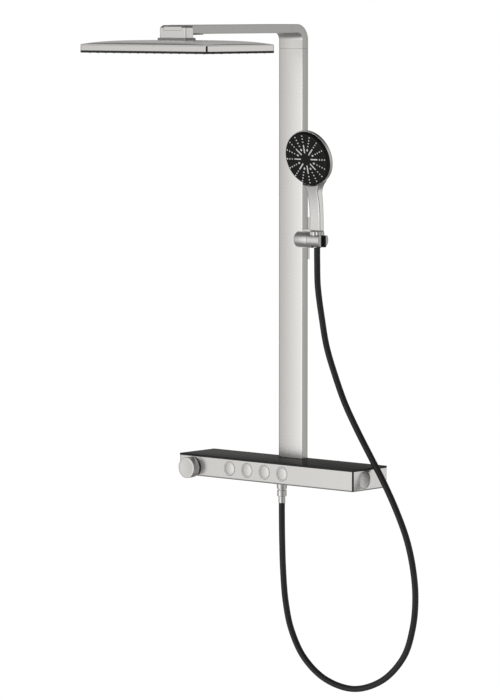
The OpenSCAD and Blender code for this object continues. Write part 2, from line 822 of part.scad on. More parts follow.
module hose_nut() {
    color(steel) translate([0, valve_mid, 0]) difference() {
        union() {
            translate([0, 0, nut_lo]) cylinder(h = nut_hi - nut_lo - 0.2, r = 10.4, $fn = 72);
            translate([0, 0, sleeve_lo]) cylinder(h = nut_lo - sleeve_lo + e, r = 7.6, $fn = 72);
        }
        translate([0, 0, sleeve_lo - 1]) cylinder(h = 50, r = 4.5, $fn = 48);
    }
}

// The hose's route, from the nut under the valve, down round the loop and up past the
// shelf's right end into the holder
hose_route = [
    [0, valve_mid, sleeve_lo - 0.05], [0, valve_mid, -95], [1, -102, -155], [3, -101, -220],
    [10, -101, -285], [26, -100, -347], [63, -100, -405], [124, -99, -446], [204, -98, -458],
    [283, -98, -430], [340, -97, -374], [365, -97, -308], [371, -96, -243], [364, -96, -181],
    [346, -95, -121], [318, -95, -63], [284, -94, -8], [246, -94, 47], [207, -93, 102],
    [172, -93, 158], [143, -92, 217], [119, -92, 278], [104, -91, 341], [93, -91, 405],
    [90, -90, 460],
    [hand_x, holder_y + 16.2 * sin(hand_lean), holder_z - 16.2]];
ring_steps = 3;

// One point of a smooth curve through four neighbours, u from 0 to 1 between the middle two
function on_curve(a, b, c, d, u) =
    0.5 * (2 * b + (c - a) * u + (2 * a - 5 * b + 4 * c - d) * u * u
           + (3 * b - a - 3 * c + d) * u * u * u);
function smooth_route(p) =
    let (last = len(p) - 1)
    [for (i = [0:last - 1], s = [0:ring_steps - 1])
        on_curve(p[max(i - 1, 0)], p[i], p[i + 1], p[min(i + 2, last)], s / ring_steps),
     p[last]];

module hose() {
    color(dark) swept_tube(smooth_route(hose_route), hose_d / 2, 10, [0, 1, 0]);
}

valve_shell();
valve_tray();
valve_back_plate();
valve_corner_strips();
glass_shelf();
manifold();
thermostat_cartridge();
flow_cartridges();
side_cartridge();
knob_collar();
temperature_knob();
flow_ring(control_x[0]);  // flow_ring_1
flow_ring(control_x[1]);  // flow_ring_2
flow_ring(control_x[2]);  // flow_ring_3
flow_ring(control_x[3]);  // flow_ring_4
flow_cap(control_x[0]);  // flow_cap_1
flow_cap(control_x[1]);  // flow_cap_2
flow_cap(control_x[2]);  // flow_cap_3
flow_cap(control_x[3]);  // flow_cap_4
cap_spring(control_x[0]);  // cap_spring_1
cap_spring(control_x[1]);  // cap_spring_2
cap_spring(control_x[2]);  // cap_spring_3
cap_spring(control_x[3]);  // cap_spring_4
side_cap();
side_spring();
wall_unions();
escutcheons();
inlet_nuts();
inlet_seals();
foot_gasket();
column();
riser_pipe();
elbow();
arm();
arm_cover_strip();
wall_bracket();
hub();
release_tab();
hub_flange();
head_nipple();
head_cover();
head_band();
head_corner_strips();
head_chamber();
head_plate();
head_nozzles();
slider_carriage();
slider_keys();
holder_barrel();
holder_washer();
holder_cup();
holder_liner();
hose_cone();
hand_shell();
hand_rim();
hand_face();
hand_sprays();
hose_outlet();
hose_nut();
hose();
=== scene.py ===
import math

import bmesh
import bpy
from mathutils import Matrix, Vector


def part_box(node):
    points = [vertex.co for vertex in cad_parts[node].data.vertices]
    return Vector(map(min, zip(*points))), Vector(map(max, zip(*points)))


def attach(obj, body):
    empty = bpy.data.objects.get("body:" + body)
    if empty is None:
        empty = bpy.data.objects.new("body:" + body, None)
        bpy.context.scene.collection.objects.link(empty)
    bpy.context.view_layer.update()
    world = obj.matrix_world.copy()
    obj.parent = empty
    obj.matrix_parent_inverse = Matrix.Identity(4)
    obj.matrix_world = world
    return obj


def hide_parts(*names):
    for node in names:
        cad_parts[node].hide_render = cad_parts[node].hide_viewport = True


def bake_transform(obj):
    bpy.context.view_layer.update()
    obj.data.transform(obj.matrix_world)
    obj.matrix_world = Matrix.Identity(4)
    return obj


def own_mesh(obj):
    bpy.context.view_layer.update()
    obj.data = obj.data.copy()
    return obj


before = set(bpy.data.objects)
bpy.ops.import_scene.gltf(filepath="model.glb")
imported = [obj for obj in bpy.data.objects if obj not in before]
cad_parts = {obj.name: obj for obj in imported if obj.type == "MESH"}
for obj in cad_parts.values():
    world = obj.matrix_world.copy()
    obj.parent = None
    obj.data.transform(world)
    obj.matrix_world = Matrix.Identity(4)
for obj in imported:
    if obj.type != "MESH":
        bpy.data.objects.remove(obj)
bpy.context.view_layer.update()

# Lengths in this script are millimetres, in the frame's own axes, unless a name ends in _m.
MM = 0.001


def place(node):
    """A CAD node's lowest and highest corner, in millimetres."""
    lo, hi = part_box(node)
    return Vector(lo) / MM, Vector(hi) / MM


def middle(node):
    lo, hi = place(node)
    return (lo + hi) / 2


# ---------------- camera

CAMERA_AT_M = (5.6851, -6.6399, 1.0271)
CAMERA_AZIMUTH = 41.469
CAMERA_PITCH = 5.030
FOCAL_PIXELS = 3999.4
LONG_SIDE_PIXELS = 700


def make_camera():
    data = bpy.data.cameras.new("camera")
    data.sensor_width = 36.0
    data.lens = data.sensor_width * FOCAL_PIXELS / LONG_SIDE_PIXELS
    data.clip_start, data.clip_end = 0.1, 400.0
    camera = bpy.data.objects.new("camera", data)
    camera.location = CAMERA_AT_M
    camera.rotation_euler = (math.radians(90 - CAMERA_PITCH), 0, math.radians(CAMERA_AZIMUTH))
    bpy.context.scene.collection.objects.link(camera)
    bpy.context.scene.camera = camera


make_camera()

# ---------------- materials


class Nodes:
    """A material's node tree, with short calls for the nodes that the finishes share."""

    def __init__(self, name):
        self.material = bpy.data.materials.new(name)
        self.material.use_nodes = True
        self.tree = self.material.node_tree
        self.tree.nodes.clear()
        self.shader = self.add("ShaderNodeBsdfPrincipled")
        out = self.add("ShaderNodeOutputMaterial")
        self.join(self.shader.outputs[0], out.inputs[0])
        self.place = self.add("ShaderNodeTexCoord").outputs["Object"]

    def add(self, kind, **values):
        node = self.tree.nodes.new(kind)
        for key, value in values.items():
            setattr(node, key, value)
        return node

    def join(self, source, target):
        self.tree.links.new(source, target)

    def stretched(self, scale):
        node = self.add("ShaderNodeMapping")
        node.inputs["Scale"].default_value = scale
        self.join(self.place, node.inputs["Vector"])
        return node.outputs[0]

    def noise(self, scale, detail=3.0, where=None):
        node = self.add("ShaderNodeTexNoise")
        node.inputs["Scale"].default_value = scale
        node.inputs["Detail"].default_value = detail
        self.join(where or self.place, node.inputs["Vector"])
        return node.outputs["Fac"]

    def ramp(self, source, low, high, start=0.3, stop=0.7):
        """Turns a 0 to 1 pattern into a colour between two, or a grey level between two numbers."""
        node = self.add("ShaderNodeValToRGB")
        ends = [c if hasattr(c, "__len__") else (c, c, c) for c in (low, high)]
        for element, position, colour in zip(node.color_ramp.elements, (start, stop), ends):
            element.position = position
            element.color = (*colour, 1)
        self.join(source, node.inputs[0])
        return node.outputs[0]

    def bump(self, height, strength, depth, below=None):
        node = self.add("ShaderNodeBump")
        node.inputs["Strength"].default_value = strength
        node.inputs["Distance"].default_value = depth
        self.join(height, node.inputs["Height"])
        if below:
            self.join(below, node.inputs["Normal"])
        return node.outputs[0]

    def paint(self, colour, roughness, normal=None):
        """Joins the patterns for colour, roughness and surface relief to the shader."""
        self.join(colour, self.shader.inputs["Base Color"])
        self.join(roughness, self.shader.inputs["Roughness"])
        if normal:
            self.join(normal, self.shader.inputs["Normal"])

    def set(self, **values):
        for key, value in values.items():
            self.shader.inputs[key.replace("_", " ")].default_value = value


def shade(colour, factor):
    return tuple(min(1.0, c * factor) for c in colour)


def metal(name, colour, roughness, grain=(1, 1, 1), grain_depth=0.000005):
    """Satin metal: faint clouding of the colour, a fine grain and a roughness that varies with it."""
    n = Nodes(name)
    cloud = n.noise(9.0, 4.0)
    fine = n.noise(2600.0, 2.0, n.stretched(grain))
    n.paint(n.ramp(cloud, shade(colour, 0.99), shade(colour, 1.01)),
            n.ramp(fine, roughness * 0.98, roughness * 1.02), n.bump(fine, 0.02, grain_depth))
    n.set(Metallic=1.0)
    return n.material


def moulded(name, colour, roughness, variation=0.15, grain=900.0, depth=0.00003, specular=0.5):
    """Moulded plastic or rubber: a fine matt grain and slight colour variation."""
    n = Nodes(name)
    cloud = n.noise(30.0, 3.0)
    fine = n.noise(grain, 2.0)
    tones = shade(colour, 1 - variation), shade(colour, 1 + variation)
    n.paint(n.ramp(cloud, *tones), n.ramp(fine, roughness * 0.9, roughness * 1.1),
            n.bump(fine, 0.2, depth))
    n.set(Specular_IOR_Level=specular)
    return n.material


def cast_brass(name):
    """Cast and machined brass with a rough skin and darker stains."""
    n = Nodes(name)
    cloud = n.noise(45.0, 6.0)
    fine = n.noise(700.0, 4.0)
    n.paint(n.ramp(cloud, (0.46, 0.32, 0.13), (0.78, 0.60, 0.32)), n.ramp(fine, 0.34, 0.52),
            n.bump(fine, 0.35, 0.0001))
    n.set(Metallic=1.0)
    return n.material


def shelf_glass(name):
    """Black-backed glass: a dark layer with a thin clear gloss over it and faint wiping marks."""
    n = Nodes(name)
    cloud = n.noise(6.0, 3.0)
    wipe = n.noise(60.0, 3.0, n.stretched((1, 6, 1)))
    tones = (0.030, 0.030, 0.030), (0.036, 0.036, 0.035)
    n.paint(n.ramp(cloud, *tones), n.ramp(wipe, 0.42, 0.5))
    n.set(Coat_Weight=0.18, Coat_Roughness=0.03, Coat_IOR=1.5, Specular_IOR_Level=0.0)
    return n.material


def hose_skin(name):
    """Black plastic sleeve over a coiled hose: faint ribs across it, at the coil's pitch."""
    n = Nodes(name)
    along = n.add("ShaderNodeAttribute", attribute_name="along").outputs["Fac"]
    turns = n.add("ShaderNodeMath", operation="MULTIPLY")
    turns.inputs[1].default_value = 2 * math.pi / RIB_PITCH
    n.join(along, turns.inputs[0])
    wave = n.add("ShaderNodeMath", operation="SINE")
    n.join(turns.outputs[0], wave.inputs[0])
    cloud = n.noise(25.0, 3.0)
    fine = n.noise(1100.0, 2.0)
    tones = (0.013, 0.013, 0.0135), (0.018, 0.018, 0.0185)
    ribs = n.bump(wave.outputs[0], 0.25, 0.0001)
    n.paint(n.ramp(cloud, *tones), n.ramp(fine, 0.40, 0.48), n.bump(fine, 0.1, 0.00002, ribs))
    n.set(Specular_IOR_Level=0.35)
    return n.material


RIB_PITCH = 3.2
WARM = (0.765, 0.758, 0.742)
FINISHES = {
    "satin_steel": metal("satin_steel", WARM, 0.27),
    # The satin steel darkened: painted shade, used only on the hub flange.
    "shaded_steel": metal("shaded_steel", (0.30, 0.298, 0.29), 0.35),
    "polished_steel": metal("polished_steel", (0.80, 0.795, 0.785), 0.13),
    "satin_column": metal("satin_column", WARM, 0.27, grain=(1, 1, 0.04)),
    "plated_plastic": metal("plated_plastic", (0.78, 0.775, 0.76), 0.20),
    "black_glass": shelf_glass("black_glass"),
    "black_plastic": moulded("black_plastic", (0.016, 0.016, 0.0165), 0.5, specular=0.3),
    "black_face": moulded("black_face", (0.0105, 0.0105, 0.0102), 0.16, 0.05, depth=0.00001,
                          specular=0.12),
    "white_silicone": moulded("white_silicone", (0.66, 0.66, 0.65), 0.55),
    "grey_silicone": moulded("grey_silicone", (0.05, 0.05, 0.052), 0.6),
    "brass": cast_brass("brass"),
    "spring_steel": metal("spring_steel", (0.55, 0.55, 0.55), 0.3, grain=(1, 1, 0.1)),
    "grey_metal": moulded("grey_metal", (0.115, 0.115, 0.118), 0.42, 0.08),
    "hose_black": hose_skin("hose_black"),
    "seal_rubber": moulded("seal_rubber", (0.03, 0.03, 0.03), 0.65),
}

# ---------------- mesh helpers


def new_piece(name, vertices, faces, at=None, smooth=35.0):
    """An object from points in millimetres. at is a matrix, in millimetres, that places them."""
    mesh = bpy.data.meshes.new(name)
    if at is not None:
        vertices = [at @ Vector(v) for v in vertices]
    mesh.from_pydata([Vector(v) * MM for v in vertices], [], [list(f) for f in faces])
    bm = bmesh.new()
    bm.from_mesh(mesh)
    bmesh.ops.remove_doubles(bm, verts=bm.verts, dist=1e-7)
    bmesh.ops.recalc_face_normals(bm, faces=bm.faces)
    bm.to_mesh(mesh)
    bm.free()
    piece = bpy.data.objects.new(name, mesh)
    bpy.context.scene.collection.objects.link(piece)
    soften(piece, smooth)
    return piece


def soften(piece, angle=35.0):
    """Smooth shading, with edges sharper than the angle kept sharp."""
    mesh = piece.data
    mesh.polygons.foreach_set("use_smooth", [True] * len(mesh.polygons))
    mesh.set_sharp_from_angle(angle=math.radians(angle))


def frame_at(origin, axis, side=None):
    """A matrix whose z runs along axis from origin; side, if given, is roughly its x."""
    z = Vector(axis).normalized()
    helper = Vector(side) if side else (Vector((1, 0, 0)) if abs(z.x) < 0.9 else Vector((0, 0, 1)))
    y = z.cross(helper).normalized()
    x = y.cross(z)
    return Matrix.Translation(Vector(origin)) @ Matrix((x, y, z)).transposed().to_4x4()


def round_corners(points, radius, closed=True, steps=5):
    """A path with an arc at each corner. A corner's own radius may be given as a third number."""
    rounded = []
    count = len(points)
    for i, point in enumerate(points):
        here = Vector(point[:2])
        r = point[2] if len(point) > 2 else radius
        if (not closed and i in (0, count - 1)) or r <= 0:
            rounded.append(tuple(here))
            continue
        before = Vector(points[i - 1][:2]) - here
        after = Vector(points[(i + 1) % count][:2]) - here
        half = before.angle(after) / 2
        reach = min(r / math.tan(half), before.length * 0.49, after.length * 0.49)
        start, stop = here + before.normalized() * reach, here + after.normalized() * reach
        bulge = (before.normalized() + after.normalized()).normalized()
        centre = here + bulge * (reach / math.cos(half))
        a, b = start - centre, stop - centre
        turn = a.angle(b)
        for k in range(steps + 1):
            t = k / steps
            arm = (a * math.sin((1 - t) * turn) + b * math.sin(t * turn)) / math.sin(turn)
            rounded.append(tuple(centre + arm))
    return rounded


def lathe(name, profile, at, closed=False, segments=96, smooth=35.0):
    """A profile of (radius, height) points turned about the z axis of the matrix at."""
    vertices = []
    faces = []
    count = len(profile)
    for k in range(segments):
        angle = 2 * math.pi * k / segments
        vertices += [(r * math.cos(angle), r * math.sin(angle), z) for r, z in profile]
    for k in range(segments):
        a, b = k * count, (k + 1) % segments * count
        for i in range(count if closed else count - 1):
            j = (i + 1) % count
            faces.append((a + i, b + i, b + j, a + j))
    return new_piece(name, vertices, faces, at, smooth)


def prism(name, outline, low, high, at=None, smooth=35.0):
    """An outline of (x, y) points drawn out along z of the matrix at, or of the frame."""
    count = len(outline)
    vertices = [(x, y, low) for x, y in outline] + [(x, y, high) for x, y in outline]
    faces = [(i, (i + 1) % count, count + (i + 1) % count, count + i) for i in range(count)]
    faces += [tuple(reversed(range(count))), tuple(range(count, 2 * count))]
    return new_piece(name, vertices, faces, at, smooth)


def rectangle(width, depth, centre=(0, 0)):
    x, y = centre
    return [(x - width / 2, y - depth / 2), (x + width / 2, y - depth / 2),
            (x + width / 2, y + depth / 2), (x - width / 2, y + depth / 2)]


def bevel(piece, width, segments=3, angle=35.0):
    """Rounds a piece's sharp edges and evens its shading."""
    rounding = piece.modifiers.new("rounded edges", "BEVEL")
    rounding.width = width * MM
    rounding.segments = segments
    rounding.limit_method = "ANGLE"
    rounding.angle_limit = math.radians(angle)
    rounding.miter_outer = "MITER_ARC"
    shading = piece.modifiers.new("even shading", "WEIGHTED_NORMAL")
    shading.keep_sharp = True
    return piece


def bake_modifiers(piece):
    """Puts the modifiers' result into the mesh."""
    graph = bpy.context.evaluated_depsgraph_get()
    mesh = bpy.data.meshes.new_from_object(piece.evaluated_get(graph), depsgraph=graph)
    piece.modifiers.clear()
    piece.data = mesh
    return piece


def cut(piece, *cutters):
    """Takes the cutters out of a piece and deletes them."""
    for cutter in cutters:
        boolean = piece.modifiers.new("cut", "BOOLEAN")
        boolean.operation = "DIFFERENCE"
        boolean.solver = "EXACT"
        boolean.object = cutter
    bake_modifiers(piece)
    for cutter in cutters:
        bpy.data.objects.remove(cutter)
    soften(piece)
    return piece


def settle(piece, body, slot, *nodes, finish=None):
    """Gives a piece its finish and its body, and hides the CAD nodes that it stands for."""
    piece.data.materials.clear()
    piece.data.materials.append(FINISHES[finish or slot])
    if nodes:
        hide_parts(*nodes)
    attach(piece, body)
    return piece


def fine_copy(node, body, slot, edge, finish=None, angle=35.0):
    """A CAD node's own surface with flat faces made whole and its sharp edges rounded."""
    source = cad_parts[node]
    mesh = source.data.copy()
    mesh.transform(source.matrix_world)
    bm = bmesh.new()
    bm.from_mesh(mesh)
    bmesh.ops.remove_doubles(bm, verts=bm.verts, dist=2e-6)
    bmesh.ops.dissolve_limit(
        bm, angle_limit=math.radians(0.8), verts=bm.verts, edges=bm.edges, delimit=set()
    )
    bm.to_mesh(mesh)
    bm.free()
    piece = bpy.data.objects.new(node + "_fine", mesh)
    bpy.context.scene.collection.objects.link(piece)
    soften(piece)
    if edge:
        bevel(piece, edge, angle=angle)
    return settle(piece, body, slot, node, finish=finish)


# ---------------- hose

HOSE_RADIUS = 6.8
HOSE_SIDES = 20
ROUTE_STEPS = 12
NUT_LOW = place("hose_nut")[0].z
nut_x, nut_y = middle("hose_nut").x, middle("hose_nut").y
HAND_X = 89.5
HOLDER_Y = -90.0
HOLDER_Z = middle("holder_barrel").z
HAND_LEAN = math.radians(1)
CONE_LOW = 16.2

# The same route as the CAD tube's, in millimetres.
HOSE_ROUTE = [
    (nut_x, nut_y, NUT_LOW - 0.05), (0, nut_y, -95), (1, -102, -155), (3, -101, -220),
    (10, -101, -285), (26, -100, -347), (63, -100, -405), (124, -99, -446), (204, -98, -458),
    (283, -98, -430), (340, -97, -374), (365, -97, -308), (371, -96, -243), (364, -96, -181),
    (346, -95, -121), (318, -95, -63), (284, -94, -8), (246, -94, 47), (207, -93, 102),
    (172, -93, 158), (143, -92, 217), (119, -92, 278), (104, -91, 341), (93, -91, 405),
    (90, -90, 460),
    (HAND_X, HOLDER_Y + CONE_LOW * math.sin(HAND_LEAN), HOLDER_Z - CONE_LOW)]


def smooth_route(points, steps):
    """A curve through the points, with a share of steps between each two."""
    p = [Vector(q) for q in points]
    last = len(p) - 1
    route = []
    for i in range(last):
        a, b, c, d = p[max(i - 1, 0)], p[i], p[i + 1], p[min(i + 2, last)]
        for k in range(steps):
            u = k / steps
            route.append(0.5 * (2 * b + (c - a) * u + (2 * a - 5 * b + 4 * c - d) * u * u
                                + (3 * b - a - 3 * c + d) * u ** 3))
    route.append(p[-1])
    return route


def swept_tube(name, path, radius, sides, along_from=0.0):
    """A closed tube round a path. Its vertices keep their distance along it, for the ribs."""
    vertices, along = [], []
    distance = along_from
    side = Vector((0, 1, 0))
    for i, point in enumerate(path):
        tangent = (path[min(i + 1, len(path) - 1)] - path[max(i - 1, 0)]).normalized()
        across = tangent.cross(side).normalized()
        up = across.cross(tangent)
        if i:
            distance += (point - path[i - 1]).length
        for k in range(sides):
            angle = 2 * math.pi * k / sides
            vertices.append(point + radius * (math.cos(angle) * up + math.sin(angle) * across))
            along.append(distance)
    rings = len(path)
    faces = [(i * sides + k, i * sides + (k + 1) % sides,
              (i + 1) * sides + (k + 1) % sides, (i + 1) * sides + k)
             for i in range(rings - 1) for k in range(sides)]
    faces += [tuple(range(sides)), tuple((rings - 1) * sides + k for k in range(sides))]
    piece = new_piece(name, vertices, faces, smooth=60)
    layer = piece.data.attributes.new("along", "FLOAT", "POINT")
    order = {tuple(round(c, 6) for c in Vector(v) * MM): a for v, a in zip(vertices, along)}
    layer.data.foreach_set(
        "value", [order.get(tuple(round(c, 6) for c in v.co), 0.0) for v in piece.data.vertices])
    return piece, distance


def make_hose():
    """The hose in three pieces: the main run, the neck and the tip."""
    path = smooth_route(HOSE_ROUTE, ROUTE_STEPS)
    neck_from, tip_from, fixed_below = 405.0, 470.0, 80.0
    lowest = min(range(len(HOSE_ROUTE)), key=lambda i: HOSE_ROUTE[i][2])
    rising = lowest * ROUTE_STEPS
    neck = next(i for i in range(rising, len(path)) if path[i].z > neck_from)
    tip = next(i for i in range(rising, len(path)) if path[i].z > tip_from)
    main, length = swept_tube("hose_main", path[:neck + 1], HOSE_RADIUS, HOSE_SIDES)
    neck_piece, length = swept_tube("hose_neck", path[neck:tip + 1], HOSE_RADIUS, HOSE_SIDES, length)
    tip_piece, _ = swept_tube("hose_tip", path[tip:], HOSE_RADIUS, HOSE_SIDES, length)
    for piece in (main, neck_piece, tip_piece):
        piece.data.materials.append(FINISHES["hose_black"])
    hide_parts("hose")
    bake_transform(main)
    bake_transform(neck_piece)
    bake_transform(tip_piece)


make_hose()

# ---------------- valve

shell_lo, shell_hi = place("valve_shell")
glass_lo, glass_hi = place("glass_shelf")
SEAM_LEG = 3.0
SHELL_T = 2.5
LOW_EDGE_R = 4.5


def into_wall(x, y, z):
    """A matrix with z into the wall and x to the right, for what is turned about such a line."""
    return frame_at((x, y, z), (0, 1, 0), (1, 0, 0))


def corner_cut(lo, hi, leg):
    """A plan outline with each corner cut by a leg."""
    return [(lo.x + leg, lo.y), (hi.x - leg, lo.y), (hi.x, lo.y + leg), (hi.x, hi.y - leg),
            (hi.x - leg, hi.y), (lo.x + leg, hi.y), (lo.x, hi.y - leg), (lo.x, lo.y + leg)]


def block(name, lo, hi, smooth=35.0):
    outline = [(lo[0], lo[1]), (hi[0], lo[1]), (hi[0], hi[1]), (lo[0], hi[1])]
    return prism(name, outline, lo[2], hi[2], smooth=smooth)


def box_corners(lo, hi):
    """A box's vertices and faces, for a box that stands in another frame."""
    vertices = [(x, y, z) for x in (lo[0], hi[0]) for y in (lo[1], hi[1]) for z in (lo[2], hi[2])]
    return vertices, [(0, 1, 3, 2), (4, 6, 7, 5), (0, 4, 5, 1), (2, 3, 7, 6), (0, 2, 6, 4),
                      (1, 5, 7, 3)]


def drill(radius, low, high, at):
    return lathe("cutter", [(0, low), (radius, low), (radius, high), (0, high)], at, segments=96)


def round_rim(piece, chosen, width, segments=6):
    """Rounds the edges whose ends both pass a test on their place, in millimetres."""
    bm = bmesh.new()
    bm.from_mesh(piece.data)
    edges = [e for e in bm.edges if all(chosen(v.co / MM) for v in e.verts)]
    bmesh.ops.bevel(bm, geom=edges, offset=width * MM, segments=segments, profile=0.5,
                    affect="EDGES", clamp_overlap=True)
    bm.to_mesh(piece.data)
    bm.free()
    soften(piece)
    return piece


FLOW = [middle("flow_ring_%d" % i) for i in (1, 2, 3, 4)]
KNOB = middle("temperature_knob")
SIDE = middle("side_cap")


def half_width(node, axis=0):
    lo, hi = place(node)
    return (hi[axis] - lo[axis]) / 2


CAP_GAP, RING_GAP, HOLE_GAP = 0.35, 0.25, 0.45
FACE_STEPS = 16
RING_R = half_width("flow_ring_1")
CAP_R = half_width("flow_cap_1")
KNOB_R = half_width("temperature_knob")
SIDE_R = half_width("side_cap", 1)


def make_valve_shell():
    """A folded shell with soft lower edges, open at the top and back, with a hole at each control."""
    piece = prism("valve_shell_skin", corner_cut(shell_lo, shell_hi, SEAM_LEG), shell_lo.z,
                  shell_hi.z)
    round_rim(piece, lambda p: p.z < shell_lo.z + 0.1, LOW_EDGE_R)
    front = shell_lo.y
    t = SHELL_T
    inner = block("cutter", (shell_lo.x + t + 2, front + t, shell_lo.z + t),
                  (shell_hi.x - t, shell_hi.y + 1, shell_hi.z + 1))
    holes = [drill(RING_R + HOLE_GAP, -6, 6, into_wall(c.x, front, c.z)) for c in FLOW]
    holes.append(drill(17, -6, 6, into_wall(KNOB.x, front, KNOB.z)))
    holes.append(drill(SIDE_R + 0.3, -6, 6, frame_at((shell_hi.x, SIDE.y, SIDE.z), (1, 0, 0))))
    cut(piece, inner, *holes)
    bevel(piece, 0.35, 2, 50)
    settle(piece, "root", "satin_steel", "valve_shell")


def make_valve_corner_shade():
    """Black strips sunk in the shell's four vertical corners: painted dark reflection along each
    corner.
    """
    lo, hi = shell_lo, shell_hi
    vertices, faces = [], []
    for sx in (-1, 1):
        for sy in (-1, 1):
            x, y = (hi if sx > 0 else lo).x, (hi if sy > 0 else lo).y
            leg = SEAM_LEG
            corner = [(x - sx * leg, y), (x - sx * (leg - 1), y), (x, y - sy * (leg - 1)),
                      (x, y - sy * leg)]
            base = len(vertices)
            vertices += [(a, b, lo.z + LOW_EDGE_R * 0.45) for a, b in corner]
            vertices += [(a, b, hi.z) for a, b in corner]
            faces += [tuple(base + k for k in q) for q in
                      ((0, 1, 5, 4), (1, 2, 6, 5), (2, 3, 7, 6), (3, 0, 4, 7), (3, 2, 1, 0),
                       (4, 5, 6, 7))]
    piece = new_piece("valve_corner_shade_strips", vertices, faces)
    settle(bevel(piece, 0.15, 2), "root", "black_plastic", "valve_corner_strips")


def make_controls():
    """Turning ring and faintly crowned push cap, four times; the first three have a tick."""
    for i, c in enumerate(FLOW, 1):
        lo, hi = place("flow_ring_%d" % i)
        deep = hi.y - lo.y
        inner, outer = CAP_R + CAP_GAP, RING_R - RING_GAP
        ring = lathe("control_ring_%d" % i, round_corners(
            [(inner, 0, 0.1), (outer, 0, 0.25), (outer, deep, 0), (inner, deep, 0)], 0.3),
            into_wall(c.x, lo.y, c.z), closed=True, segments=128)
        settle(ring, "ring_%d" % i, "satin_steel", "flow_ring_%d" % i)
        lo, hi = place("flow_cap_%d" % i)
        deep = hi.y - lo.y
        r = CAP_R
        hollow = [(r - 1.6, deep), (r - 1.6, 4.4), (3, 4.4), (3, deep), (0, deep)]
        shares = [k / FACE_STEPS for k in range(FACE_STEPS)]
        face = [(r * q, 0.02 + 0.42 * q ** 2) for q in shares]
        profile = face + [(r - 0.1, 0.46), (r, 0.7), (r, deep)] + hollow
        cap = lathe("push_cap_%d" % i, profile, into_wall(c.x, lo.y, c.z), segments=128)
        if i < 4:
            cut(cap, block("cutter", (c.x - 0.45, lo.y - 1, c.z + 6.0),
                           (c.x + 0.45, lo.y + 2.6, c.z + 8.6)))
        settle(cap, "cap_%d" % i, "satin_steel", "flow_cap_%d" % i)


def make_knob():
    """Temperature knob: a drum with a softly broken front edge, hollow behind."""
    lo, hi = place("temperature_knob")
    deep = hi.y - lo.y
    r = KNOB_R
    front = [(0, 0.3), (r * 0.4, 0.25), (r * 0.75, 0.1), (r, 0, 1.0)]
    back = [(r, deep, 0.6), (r - 3, deep), (r - 3, 4), (8, 4), (8, deep), (4.1, deep), (4.1, 5),
            (0, 5)]
    profile = round_corners(front + back, 0, closed=False, steps=6)
    knob = lathe("temperature_knob_drum", profile, into_wall(KNOB.x, lo.y, KNOB.z), segments=128)
    settle(knob, "knob", "satin_steel", "temperature_knob")
    lo, hi = place("knob_collar")
    deep = hi.y - lo.y
    collar = lathe("knob_collar_ring", round_corners(
        [(4.4, 0), (20.5, 0, 0.4), (20.5, deep), (4.4, deep)], 0),
        into_wall(KNOB.x, lo.y, KNOB.z), closed=True)
    settle(collar, "root", "black_plastic", "knob_collar")


def make_side_cap():
    """Large push cap in the valve's right side, with a shallow bowl in its face."""
    lo, hi = place("side_cap")
    at = frame_at((hi.x, SIDE.y, SIDE.z), (-1, 0, 0))
    r, disc, deep = SIDE_R - 0.15, 5.5, hi.x - lo.x
    shares = [k / FACE_STEPS for k in range(FACE_STEPS)]
    bowl = [(r * q, 2.2 * (1 - q ** 2) + 0.05) for q in shares]
    edge = [(r - 0.3, 0.1), (r, 0.5), (r, disc)]
    skirt = [(r - 3, disc), (r - 3, deep), (r - 5, deep), (r - 5, disc), (4, disc), (4, deep),
             (0, deep)]
    cap = lathe("side_push_cap", bowl + edge + skirt, at, segments=128)
    settle(cap, "side", "satin_steel", "side_cap")


def make_glass():
    """Glass plate with ground edges and an opening for the riser pipe."""
    piece = block("glass_plate", glass_lo, glass_hi)
    round_rim(piece, lambda p: True, 1.2, 4)
    hole = block("cutter", (-17, -71, glass_lo.z - 1), (17, -58, glass_hi.z + 1))
    cut(piece, hole)
    settle(piece, "root", "black_glass", "glass_shelf")


make_valve_shell()
make_valve_corner_shade()
make_controls()
make_knob()
make_side_cap()
make_glass()

# ---------------- column, elbow and arm

column_lo, column_hi = place("column")
elbow_lo, elbow_hi = place("elbow")
arm_lo, arm_hi = place("arm")
COLUMN_W = column_hi.x - column_lo.x
COLUMN_D = column_hi.y - column_lo.y
CROWN = 1.1
PROFILE_T = 2.5
BEND_R = 35.0
bend_y, bend_z = column_hi.y - BEND_R, elbow_hi.z - BEND_R


def profile_section(crown=CROWN, inset=0.0, round_r=1.2):
    """The profile's outline as (across, depth) points; depth 0 is the slightly crowned face."""
    half = COLUMN_W / 2 - inset
    low, high = inset, COLUMN_D - inset
    steps = 14
    face = [(half * (2 * k / steps - 1), low + crown * (2 * k / steps - 1) ** 2)
            for k in range(steps + 1)]
    inner = [(x, y, 0) for x, y in face[1:-1]]
    corners = [(*face[0], round_r)] + inner + [(*face[-1], round_r)]
    corners += [(half, high, round_r), (-half, high, round_r)]
    return round_corners(corners, 0, steps=5)


def make_column():
    lo, hi = column_lo, column_hi
    outline = [(x, lo.y + y) for x, y in profile_section()]
    piece = prism("column_profile", outline, lo.z, hi.z)
    mid_y = (lo.y + hi.y) / 2
    low, high = lo.z - 5, hi.z + 5
    ducts = [block("cutter", (-9, mid_y - 6.5, low), (9, mid_y + 6.5, high))]
    for s in (-24.0, 24.0):
        ducts.append(block("cutter", (s - 2.5, hi.y - 2.5, low), (s + 2.5, hi.y + 2, high)))
        ducts.append(block("cutter", (s - 5, hi.y - 6.2, low), (s + 5, hi.y - 2.2, high)))
    cut(piece, *ducts)
    settle(piece, "root", "satin_column", "column")


